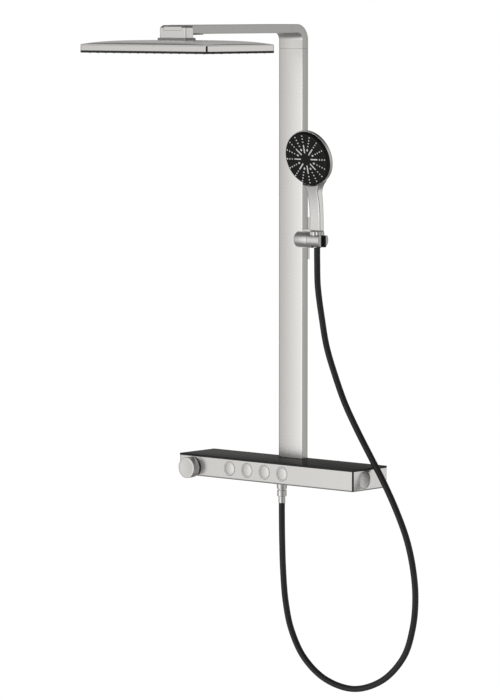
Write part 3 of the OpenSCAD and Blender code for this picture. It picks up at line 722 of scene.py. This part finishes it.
def loft(name, rings, smooth=35.0):
    """Joins rings of points of equal count, and closes both ends."""
    count = len(rings[0])
    vertices = [p for ring in rings for p in ring]
    faces = [(i * count + k, i * count + (k + 1) % count,
              (i + 1) * count + (k + 1) % count, (i + 1) * count + k)
             for i in range(len(rings) - 1) for k in range(count)]
    faces += [tuple(range(count)), tuple((len(rings) - 1) * count + k for k in range(count))]
    return new_piece(name, vertices, faces, smooth=smooth)


def elbow_rings(section, low, far):
    """The section's rings up the column's line, round the bend and out along the arm."""
    face_r = BEND_R - COLUMN_D
    rings = [[(x, bend_y + face_r + d, low) for x, d in section]]
    steps = 28
    for k in range(steps + 1):
        a = math.pi / 2 * k / steps
        rings.append([(x, bend_y + (face_r + d) * math.cos(a), bend_z + (face_r + d) * math.sin(a))
                      for x, d in section])
    rings.append([(x, far, bend_z + face_r + d) for x, d in section])
    return rings


def make_elbow():
    piece = loft("elbow_profile", elbow_rings(profile_section(), elbow_lo.z, elbow_lo.y), 28)
    hollow = loft("cutter", elbow_rings(profile_section(0, PROFILE_T, 1.0), elbow_lo.z - 3,
                                        elbow_lo.y - 3))
    cut(piece, hollow)
    soften(piece, 28)
    settle(piece, "root", "satin_column", "elbow")


def make_arm():
    """Closed hollow profile: its crowned face is the underside, in line with the column's front."""
    lo, hi = arm_lo, arm_hi
    at = frame_at((0, 0, 0), (0, 1, 0), (1, 0, 0))
    outline = [(x, -(lo.z + y)) for x, y in profile_section()]
    piece = prism("arm_profile", outline, lo.y, hi.y, at)
    inner = block("cutter", (lo.x + PROFILE_T, lo.y - 1, lo.z + PROFILE_T),
                  (hi.x - PROFILE_T, hi.y + 1, hi.z - PROFILE_T))
    cut(piece, inner)
    settle(piece, "root", "satin_column", "arm")


def make_seam_shade():
    """Dark strip in the narrow joint between the column and the bend: painted shade for the inside of
    the joint.
    """
    outline = [(x, column_lo.y + y) for x, y in profile_section(inset=0.5)]
    shade_strip = prism("column_seam_shade_strip", outline, column_hi.z - 0.1, elbow_lo.z + 0.2)
    settle(shade_strip, "root", "seal_rubber")


make_column()
make_seam_shade()
make_elbow()
make_arm()
fine_copy("arm_cover_strip", "root", "grey_metal", 0.5)
fine_copy("wall_bracket", "root", "grey_metal", 0.8)
fine_copy("foot_gasket", "root", "seal_rubber", 0)

# ---------------- overhead shower

HEAD = (place("head_band")[0] + place("head_band")[1]) / 2
band_lo, band_hi = place("head_band")
cover_lo, cover_hi = place("head_cover")
plate_lo, plate_hi = place("head_plate")
hub_lo, hub_hi = place("hub")
tab_lo, tab_hi = place("release_tab")
NIPPLE_R = half_width("head_nipple")


def make_head_cover():
    """Thin pillow dome with elliptical shoulders that run down to the band."""
    half_w, half_d = (cover_hi.x - cover_lo.x) / 2, (cover_hi.y - cover_lo.y) / 2
    base, sheet = band_hi.z + 1.6, 1.6
    rise = cover_hi.z - base
    nx, ny = 72, 48
    corner_r = 4.0

    def point(i, j, drop):
        u, v = -math.cos(math.pi * i / nx), -math.cos(math.pi * j / ny)
        swell = max(0, 1 - abs(u) ** 4) * max(0, 1 - abs(v) ** 4)
        x, y = u * half_w, v * half_d
        over_x, over_y = abs(x) - (half_w - corner_r), abs(y) - (half_d - corner_r)
        if over_x > 0 and over_y > 0:
            reach = max(over_x, over_y) / math.hypot(over_x, over_y)
            x = math.copysign(half_w - corner_r + over_x * reach, x)
            y = math.copysign(half_d - corner_r + over_y * reach, y)
        return x, HEAD.y + y, base + rise * math.sqrt(swell) - drop

    row = nx + 1
    top = [point(i, j, 0.0) for j in range(ny + 1) for i in range(row)]
    low = [point(i, j, sheet) for j in range(ny + 1) for i in range(row)]
    count = len(top)
    cells = [(j * row + i, j * row + i + 1, (j + 1) * row + i + 1, (j + 1) * row + i)
             for j in range(ny) for i in range(nx)]
    rim = (list(range(nx)) + [nx + j * row for j in range(ny)]
           + [count - 1 - i for i in range(nx)] + [(ny - j) * row for j in range(ny)])
    edge = [(a, b, count + b, count + a) for a, b in zip(rim, rim[1:] + rim[:1])]
    faces = cells + [tuple(count + k for k in reversed(c)) for c in cells] + edge
    piece = new_piece("head_dome", top + low, faces, smooth=40)
    at_nipple = frame_at((0, middle("head_nipple").y, base), (0, 0, 1))
    cut(piece, drill(NIPPLE_R + 0.4, -30, 30, at_nipple))
    soften(piece, 40)
    settle(piece, "root", "satin_steel", "head_cover")


def make_head_band():
    piece = prism("head_band_frame", corner_cut(band_lo, band_hi, SEAM_LEG), band_lo.z, band_hi.z)
    t = 1.8
    inner_lo, inner_hi = band_lo + Vector((t, t, 0)), band_hi - Vector((t, t, 0))
    cut(piece, prism("cutter", corner_cut(inner_lo, inner_hi, SEAM_LEG), band_lo.z - 1,
                     band_hi.z + 1))
    bevel(piece, 0.4, 2, 30)
    settle(piece, "root", "satin_steel", "head_band")
    # The black corner strips are painted dark reflection along each corner of the band.
    fine_copy("head_corner_strips", "root", "black_plastic", 0.1)


def make_head_plate():
    """Black moulded plate with a soft lower edge."""
    piece = prism("nozzle_plate", corner_cut(plate_lo, plate_hi, 1.5), plate_lo.z, plate_hi.z)
    round_rim(piece, lambda p: p.z < plate_lo.z + 0.1, 1.2, 4)
    settle(piece, "root", "black_plastic", "head_plate")


def make_nozzles():
    """Soft nozzles: a collar, a tapered tip and the jet's hole, in a grid of 15 by 8."""
    lo, hi = place("head_nozzles")
    deep, r = hi.z - lo.z, 2.0
    profile = [(0, 0.5), (0.55, 0.5), (0.6, deep), (0.95, deep), (1.25, deep - 0.25), (1.5, 0.35),
               (r - 0.15, 0.3), (r, 0.1), (r, 0)]
    columns, rows, sides = 15, 8, 24
    step_x = (hi.x - lo.x - 2 * r) / (columns - 1)
    step_y = (hi.y - lo.y - 2 * r) / (rows - 1)
    vertices, faces = [], []
    count = len(profile)
    for i in range(columns):
        for j in range(rows):
            base = len(vertices)
            x, y = lo.x + r + step_x * i, lo.y + r + step_y * j
            for k in range(sides):
                a = 2 * math.pi * k / sides
                vertices += [(x + q * math.cos(a), y + q * math.sin(a), hi.z - h)
                             for q, h in profile]
            for k in range(sides):
                a, b = base + k * count, base + (k + 1) % sides * count
                faces += [(a + m, b + m, b + m + 1, a + m + 1) for m in range(count - 1)]
            faces.append(tuple(base + k * count + count - 1 for k in range(sides)))
    piece = new_piece("spray_nozzles", vertices, faces, smooth=30)
    settle(piece, "root", "grey_silicone", "head_nozzles")


def make_hub():
    """Block under the arm's end: sloped top edges, a recess in front for the release tab."""
    width, depth = hub_hi.x - hub_lo.x, hub_hi.y - hub_lo.y
    centre = (hub_lo.x + hub_hi.x) / 2, (hub_lo.y + hub_hi.y) / 2
    slope, side_r = 5.2, 3.0
    steps = [(0.0, 27.0), (0.0, slope + 0.7), (0.12, slope + 0.2), (0.4, slope - 0.3),
             (slope - 0.3, 0.4), (slope + 0.2, 0.12), (slope + 0.7, 0.0)]
    rings = []
    for inset, below in steps:
        z = max(hub_lo.z, hub_hi.z - below)
        outline = round_corners(rectangle(width - 2 * inset, depth - 2 * inset, centre),
                                max(1.0, side_r - 0.4 * inset))
        rings.append([(x, y, z) for x, y in outline])
    piece = loft("hub_block", rings, 40)
    recess = block("cutter", (tab_lo.x - 0.3, hub_lo.y - 5, tab_lo.z - 0.3),
                   (tab_hi.x + 0.3, hub_lo.y + 3.2, tab_hi.z + 0.3))
    cavity = block("cutter", (-30, hub_lo.y + 8.5, hub_lo.z + 4),
                   (30, hub_hi.y + 5, hub_hi.z - 1.7))
    at_nipple = frame_at((0, middle("head_nipple").y, hub_lo.z), (0, 0, 1))
    hole = drill(NIPPLE_R + 0.1, -5, 15, at_nipple)
    cut(piece, recess, cavity, hole)
    bevel(piece, 0.3, 2, 50)
    settle(piece, "root", "satin_steel", "hub")
    fine_copy("release_tab", "tab", "satin_steel", 0.35)
    # The flange gets the satin steel darkened: painted shade along the hub.
    fine_copy("hub_flange", "root", "satin_steel", 0.8, finish="shaded_steel")


make_head_cover()
make_head_band()
make_head_plate()
make_nozzles()
make_hub()

# ---------------- slider and holder

barrel_lo, barrel_hi = place("holder_barrel")
cup_lo, cup_hi = place("holder_cup")
BARREL_R = (barrel_hi.z - barrel_lo.z) / 2
COLLAR_R = 16.0
CONE_TOP = 10.0


def in_hand():
    """The hand shower's own axes: from the holder's axis, with z up its handle."""
    return Matrix.Translation((HAND_X, HOLDER_Y, HOLDER_Z)) @ Matrix.Rotation(HAND_LEAN, 4, "X")


def make_barrel():
    at = frame_at((0, HOLDER_Y, HOLDER_Z), (1, 0, 0))
    a, b, r = barrel_lo.x, barrel_hi.x, BARREL_R
    outer = [(0, a), (r, a, 2.5), (r, b, 0.4), (8.1, b), (8.1, a + 9.5), (0, a + 9.5)]
    piece = lathe("slider_barrel", round_corners(outer, 0, closed=False, steps=6), at)
    settle(piece, "slider", "satin_steel", "holder_barrel")
    fine_copy("holder_washer", "slider", "black_plastic", 0)


def make_cup():
    """Turning holder: a short drum with an open seat for the hose's cone and a slot at its end."""
    at = frame_at((0, HOLDER_Y, HOLDER_Z), (1, 0, 0))
    a, b, r = cup_lo.x, cup_hi.x, BARREL_R
    neck = place("holder_washer")[1].x + 0.1
    outer = [(0, a), (8, a), (8, neck), (r, neck, 0.5), (r, b, 1.6), (0, b)]
    piece = lathe("holder_drum", round_corners(outer, 0, closed=False, steps=6), at)
    hand = in_hand()
    bore = drill(13.3, -60, 60, hand)
    recess = drill(COLLAR_R + 0.4, CONE_TOP, 60, hand)
    slot = new_piece("cutter", *box_corners((0, -8.5, -60), (60, 8.5, 60)), hand)
    shelf = new_piece("cutter", *box_corners((0, -20, CONE_TOP), (60, 20, 60)), hand)
    cut(piece, bore, recess, slot, shelf)
    bevel(piece, 0.35, 2, 40)
    settle(piece, "holder", "satin_steel", "holder_cup")
    fine_copy("holder_liner", "holder", "black_plastic", 0.15)


make_barrel()
make_cup()
fine_copy("slider_carriage", "slider", "satin_steel", 0.8)
fine_copy("slider_keys", "slider", "black_plastic", 0.2)

# ---------------- hand shower

COLLAR_TOP = 20.0
CONE_TOP_R, CONE_LOW_R = 11.9, 9.8
LOBES = 8
LOBE_TURN = 0.66
SPIGOT_R = 5.45
FACE_UP, FACE_OUT = 175.8, 34.0
FACE_TILT = math.radians(14)
FACE_DEEP, RIM_DEEP, RIM_R = 8.5, 8.0, 61.2


def at_face():
    """Axes at the middle of the spray face, with z outward."""
    return (in_hand() @ Matrix.Translation((0, -FACE_OUT, FACE_UP))
            @ Matrix.Rotation(math.pi / 2 + FACE_TILT, 4, "X"))


def make_cone():
    """The hose's end: a tapered cone, a lobed collar above it and the spigot in the handle."""
    low = -16.0
    levels = [(low, CONE_LOW_R - 0.6), (low + 0.6, CONE_LOW_R), (CONE_TOP, CONE_TOP_R)]
    rings = []
    sides = 240
    for z, r in levels:
        rings.append([(r, z)] * sides)
    for z, share in ((CONE_TOP + 0.3, 0.93), (CONE_TOP + 0.9, 0.985), (CONE_TOP + 2, 1.0),
                     (COLLAR_TOP - 2.2, 1.0), (COLLAR_TOP - 0.9, 0.96), (COLLAR_TOP, 0.88)):
        ring = []
        for k in range(sides):
            phase = (LOBES * k / sides - LOBE_TURN) % 1.0
            belly = abs(math.sin(math.pi * phase)) ** 0.4
            r = COLLAR_R * share - 3.0 * (1 - belly)
            ring.append((r, z))
        rings.append(ring)
    for z in (COLLAR_TOP, COLLAR_TOP + 14):
        rings.append([(SPIGOT_R, z)] * sides)
    vertices = [[(r * math.cos(2 * math.pi * k / sides), r * math.sin(2 * math.pi * k / sides), z)
                 for k, (r, z) in enumerate(ring)] for ring in rings]
    piece = loft("hose_cone_collar", vertices, 40)
    piece.data.transform(Matrix.Scale(1 / MM, 4))
    piece.data.transform(in_hand())
    piece.data.transform(Matrix.Scale(MM, 4))
    cut(piece, drill(HOSE_RADIUS + 0.2, -20, -1.5, in_hand()))
    soften(piece, 40)
    settle(piece, "cone", "plated_plastic", "hose_cone")


def make_hand_shell():
    """Handle and bowl in one smooth moulding, with concave shoulders where they join."""
    levels = [COLLAR_TOP + 0.3 + k * 2.0 for k in range(62)]
    bevel_leg, back_leg = 1.7, 4.0
    rings = []
    for s in levels:
        widen = min(1.2, max(0.0, (s - 100.0) / 24.0))
        half_x = 15.4 + 11.2 * widen * widen
        front = -7.6 - 11.4 * max(0.0, (s - 50.0) / 68.0) ** 2
        back = 8.8 - 9.4 * max(0.0, (s - 40.0) / 100.0) ** 2
        outline = [(-half_x + bevel_leg, front), (half_x - bevel_leg, front),
                   (half_x, front + bevel_leg), (half_x, back - back_leg, 4.0),
                   (half_x - back_leg, back, 4.0), (-half_x + back_leg, back, 4.0),
                   (-half_x, back - back_leg, 4.0), (-half_x, front + bevel_leg)]
        outline = round_corners(outline, 0.6, steps=3)
        rings.append([(x, y, s) for x, y in outline])
    handle = loft("hand_shell_skin", rings, 60)
    to_hand = Matrix.Scale(MM, 4) @ in_hand() @ Matrix.Scale(1 / MM, 4)
    handle.data.transform(to_hand)
    back = -FACE_DEEP - RIM_DEEP
    bowl = lathe("bowl", round_corners(
        [(0, back - 12.5), (16, back - 12.1, 30), (32, back - 10), (46, back - 6.2),
         (55, back - 3.4), (RIM_R - 0.6, back), (RIM_R - 0.6, back + 2), (0, back + 2)], 6,
        closed=False), at_face(), segments=128)
    handle.modifiers.new("join", "BOOLEAN").object = bowl
    handle.modifiers["join"].operation = "UNION"
    handle.modifiers["join"].solver = "EXACT"
    remesh = handle.modifiers.new("one skin", "REMESH")
    remesh.mode = "VOXEL"
    remesh.voxel_size = 1.0 * MM
    smooth = handle.modifiers.new("soft shoulders", "SMOOTH")
    smooth.factor = 0.6
    smooth.iterations = 5
    bake_modifiers(handle)
    bpy.data.objects.remove(bowl)
    front = drill(RIM_R + 0.25, back, 60, at_face())
    bore = drill(SPIGOT_R + 0.05, 0, 60, in_hand())
    foot = drill(60, -60, COLLAR_TOP + 0.3, in_hand())
    cut(handle, front, bore, foot)
    soften(handle, 50)
    settle(handle, "handset", "satin_steel", "hand_shell")


def make_hand_face():
    """Bright rim with a rolled edge, and the gloss black spray face inside it."""
    z = -FACE_DEEP
    rim = lathe("hand_rim_band", round_corners(
        [(54, z - RIM_DEEP), (RIM_R - 0.5, z - RIM_DEEP, 0.5), (RIM_R, z - RIM_DEEP / 2, 6),
         (RIM_R - 0.6, z, 0.6), (54, z)], 0, steps=6), at_face(), closed=True, segments=160)
    settle(rim, "handset", "satin_steel", "hand_rim", finish="polished_steel")
    edge = RIM_R - 1.5
    profile = [(0, z), (edge, z), (edge, z + 1.5)]
    turn = 12
    for k in range(1, turn + 1):
        a = math.pi / 2 * k / turn
        profile.append((edge - 6 * (1 - math.cos(a)), -7 + 7 * math.sin(a)))
    profile += [(edge * (1 - k / 14), 0.0) for k in range(3, 15)]
    face = lathe("spray_face", profile, at_face(), segments=160)
    settle(face, "handset", "black_face", "hand_face")


def make_sprays():
    """White nozzles: eight round-ended bars with dots beyond, and dots between them."""
    vertices, faces = [], []

    def dome(x, y, half_length, half_width, angle, height=0.8):
        shares = [(1.0, 0.0), (0.99, 0.45), (0.93, 0.75), (0.8, 0.93), (0.55, 1.0), (0.0, 1.0)]
        sides = 28
        base = len(vertices)
        for share, up in shares:
            for k in range(sides):
                a = 2 * math.pi * k / sides
                lengthen = math.copysign(half_length - half_width, math.cos(a))
                px = half_width * share * math.cos(a) + lengthen
                py = half_width * share * math.sin(a)
                vertices.append((x + px * math.cos(angle) - py * math.sin(angle),
                                 y + px * math.sin(angle) + py * math.cos(angle), height * up))
        for m in range(len(shares) - 1):
            for k in range(sides):
                a, b = base + m * sides + k, base + m * sides + (k + 1) % sides
                faces.append((a, b, b + sides, a + sides))
        faces.append(tuple(base + k for k in reversed(range(sides))))

    for k in range(8):
        bar, gap = math.radians(45 * k), math.radians(45 * k + 22.5)
        dome(23 * math.cos(bar), 23 * math.sin(bar), 9.6, 1.5, bar)
        for r in (38.5, 45.5, 52.3):
            dome(r * math.cos(bar), r * math.sin(bar), 1.6, 1.6, bar)
        dome(22.5 * math.cos(gap), 22.5 * math.sin(gap), 2.8, 1.9, gap)
        for r in (31.5, 38.5, 45.5, 52.3):
            dome(r * math.cos(gap), r * math.sin(gap), 1.6, 1.6, gap)
    piece = new_piece("spray_bars", vertices, faces, at_face(), smooth=40)
    settle(piece, "handset", "white_silicone", "hand_sprays")


make_cone()
make_hand_shell()
make_hand_face()
make_sprays()

# ---------------- outlet, hose nut and inlets


def make_outlet():
    at = frame_at((nut_x, nut_y, 0), (0, 0, 1))
    lo, hi = place("hose_outlet")
    nut_lo, nut_hi = place("hose_nut")
    neck = nut_hi.z + 0.25
    collar_low = neck + 2.3
    profile = round_corners(
        [(5, neck), (7.8, neck), (7.8, collar_low), (10.8, collar_low, 0.6), (12.3, hi.z, 0.5),
         (5, hi.z)], 0)
    collar = lathe("hose_outlet_collar", profile, at, closed=True)
    settle(collar, "root", "satin_steel", "hose_outlet")
    shoulder = nut_lo.z + 15.0
    profile = round_corners(
        [(4.5, nut_lo.z), (7.6, nut_lo.z, 0.5), (7.6, shoulder - 0.5, 0.3), (10.4, shoulder, 0.8),
         (10.4, nut_hi.z, 0.8), (4.5, nut_hi.z)], 0)
    nut = lathe("hose_nut_body", profile, at, closed=True)
    settle(nut, "root", "satin_steel", "hose_nut")


make_outlet()
fine_copy("wall_unions", "root", "brass", 0.4)
fine_copy("escutcheons", "root", "satin_steel", 0.4)
fine_copy("inlet_nuts", "root", "satin_steel", 0.7)

# ---------------- inner pieces


def make_spring(node):
    """Push spring: the CAD node's own surface, on a mesh of its own."""
    spring = fine_copy(node, "root", "spring_steel", 0)
    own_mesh(spring)


for i in range(1, 5):
    make_spring("cap_spring_%d" % i)
make_spring("side_spring")

INNER = {
    "black_plastic": ["valve_tray", "head_chamber"],
    "brass": ["manifold", "thermostat_cartridge", "flow_cartridges", "side_cartridge",
              "riser_pipe", "head_nipple"],
    "grey_metal": ["valve_back_plate"],
    "seal_rubber": ["inlet_seals"]}
for finish, names in INNER.items():
    for name in names:
        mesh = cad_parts[name].data
        mesh.materials.clear()
        mesh.materials.append(FINISHES[finish])

# ---------------- stage and light

FLOOR_Z_M = -1.15


def make_floor():
    """A wide pale floor, seen from above only and left out of reflections."""
    size = 60.0
    mesh = bpy.data.meshes.new("floor")
    corners = [(-size, -size), (size, -size), (size, size), (-size, size)]
    mesh.from_pydata([(x, y, FLOOR_Z_M) for x, y in corners], [], [(0, 1, 2, 3)])
    floor = bpy.data.objects.new("floor", mesh)
    bpy.context.scene.collection.objects.link(floor)
    material = bpy.data.materials.new("floor")
    material.use_nodes = True
    tree = material.node_tree
    new, join = tree.nodes.new, tree.links.new
    tree.nodes.clear()
    diffuse = new("ShaderNodeBsdfDiffuse")
    diffuse.inputs["Color"].default_value = (0.6, 0.6, 0.6, 1)
    glow = new("ShaderNodeEmission")
    glow.inputs["Strength"].default_value = 0.86
    matt = new("ShaderNodeAddShader")
    join(diffuse.outputs[0], matt.inputs[0])
    join(glow.outputs[0], matt.inputs[1])
    clear = new("ShaderNodeBsdfTransparent")
    side = new("ShaderNodeNewGeometry")
    mix = new("ShaderNodeMixShader")
    out = new("ShaderNodeOutputMaterial")
    join(side.outputs["Backfacing"], mix.inputs[0])
    join(matt.outputs[0], mix.inputs[1])
    join(clear.outputs[0], mix.inputs[2])
    join(mix.outputs[0], out.inputs[0])
    floor.data.materials.append(material)
    floor.visible_glossy = False


def make_world():
    """Soft studio: a wide light in front and to the left, dimmer elsewhere, and dark overhead."""
    world = bpy.data.worlds.new("studio")
    bpy.context.scene.world = world
    world.use_nodes = True
    tree = world.node_tree
    new, join = tree.nodes.new, tree.links.new
    tree.nodes.clear()

    def math_node(operation, *values):
        node = new("ShaderNodeMath")
        node.operation = operation
        for socket, value in zip(node.inputs, values):
            if isinstance(value, (int, float)):
                socket.default_value = value
            else:
                join(value, socket)
        return node.outputs[0]

    def level_ramp(source, stops):
        ramp = new("ShaderNodeValToRGB")
        levels = ramp.color_ramp.elements
        for _ in stops[2:]:
            levels.new(0.5)
        for element, (position, level) in zip(levels, stops):
            element.position = position
            element.color = (level / 2, level / 2, level / 2, 1)
        join(source, ramp.inputs[0])
        return math_node("MULTIPLY", ramp.outputs[0], 2.0)

    direction = new("ShaderNodeTexCoord")
    split = new("ShaderNodeSeparateXYZ")
    join(direction.outputs["Generated"], split.inputs[0])
    x, y, z = split.outputs
    turn = math_node("ARCTAN2", math_node("MULTIPLY", x, -1.0), math_node("MULTIPLY", y, -1.0))
    turn = math_node("MULTIPLY_ADD", turn, 0.5 / math.pi, 0.5)
    height = math_node("MULTIPLY_ADD", z, 0.5, 0.5)
    around = level_ramp(turn, [(0.5 + a / 360, level) for a, level in LIGHT_AROUND])
    upright = level_ramp(height, [(0.5 + h / 2, level) for h, level in LIGHT_BY_HEIGHT])
    lit = new("ShaderNodeBackground")
    lit.inputs["Color"].default_value = (1.0, 0.993, 0.98, 1)
    join(math_node("MULTIPLY", around, upright), lit.inputs["Strength"])
    white = new("ShaderNodeBackground")
    white.inputs["Color"].default_value = (1, 1, 1, 1)
    rays = new("ShaderNodeLightPath")
    mix = new("ShaderNodeMixShader")
    out = new("ShaderNodeOutputWorld")
    join(rays.outputs["Is Camera Ray"], mix.inputs[0])
    join(lit.outputs[0], mix.inputs[1])
    join(white.outputs[0], mix.inputs[2])
    join(mix.outputs[0], out.inputs[0])


# Light by direction: degrees from straight in front, positive to the left, and its level.
LIGHT_AROUND = [(-180, 0.25), (-139, 0.47), (-108, 0.60), (-70, 0.30), (-45, 0.27), (-25, 0.5),
                (-5, 0.95), (12, 1.32), (28, 1.30), (34, 1.17), (41, 0.90), (48, 0.52),
                (56, 0.36), (75, 0.34), (110, 0.42), (139, 0.55), (180, 0.25)]
# Light by the sine of the height above the horizon, and its share of the level.
LIGHT_BY_HEIGHT = [(-1.0, 0.34), (-0.7, 0.62), (-0.35, 0.97), (0.0, 1.0), (0.35, 0.95),
                   (0.7, 0.42), (1.0, 0.2)]


def make_side_light():
    """A card behind and to the right that lights only the pieces named in SIDE_LIT."""
    data = bpy.data.lights.new("side_card", "AREA")
    data.shape = "RECTANGLE"
    data.size, data.size_y = 2.8, 2.4
    data.energy = SIDE_CARD_WATTS
    data.color = (1.0, 0.993, 0.98)
    lamp = bpy.data.objects.new("side_card", data)
    toward = Vector((0.78, 0.62, -0.05)).normalized()
    lamp.location = Vector((0.2, -0.2, 0.45)) + toward * 2.5
    lamp.rotation_euler = (-toward).to_track_quat("-Z", "Y").to_euler()
    lamp.visible_camera = False
    bpy.context.scene.collection.objects.link(lamp)
    seen_by = bpy.data.collections.new("side_card_receivers")
    for name in SIDE_LIT:
        seen_by.objects.link(bpy.data.objects[name])
    lamp.light_linking.receiver_collection = seen_by


SIDE_CARD_WATTS = 7.6
SIDE_LIT = ["valve_shell_skin", "side_push_cap", "temperature_knob_drum", "head_band_frame",
            "head_dome", "hub_block", "hand_shell_skin", "slider_carriage_fine"]
make_floor()
make_world()
make_side_light()
bpy.context.scene.view_settings.view_transform = "Standard"
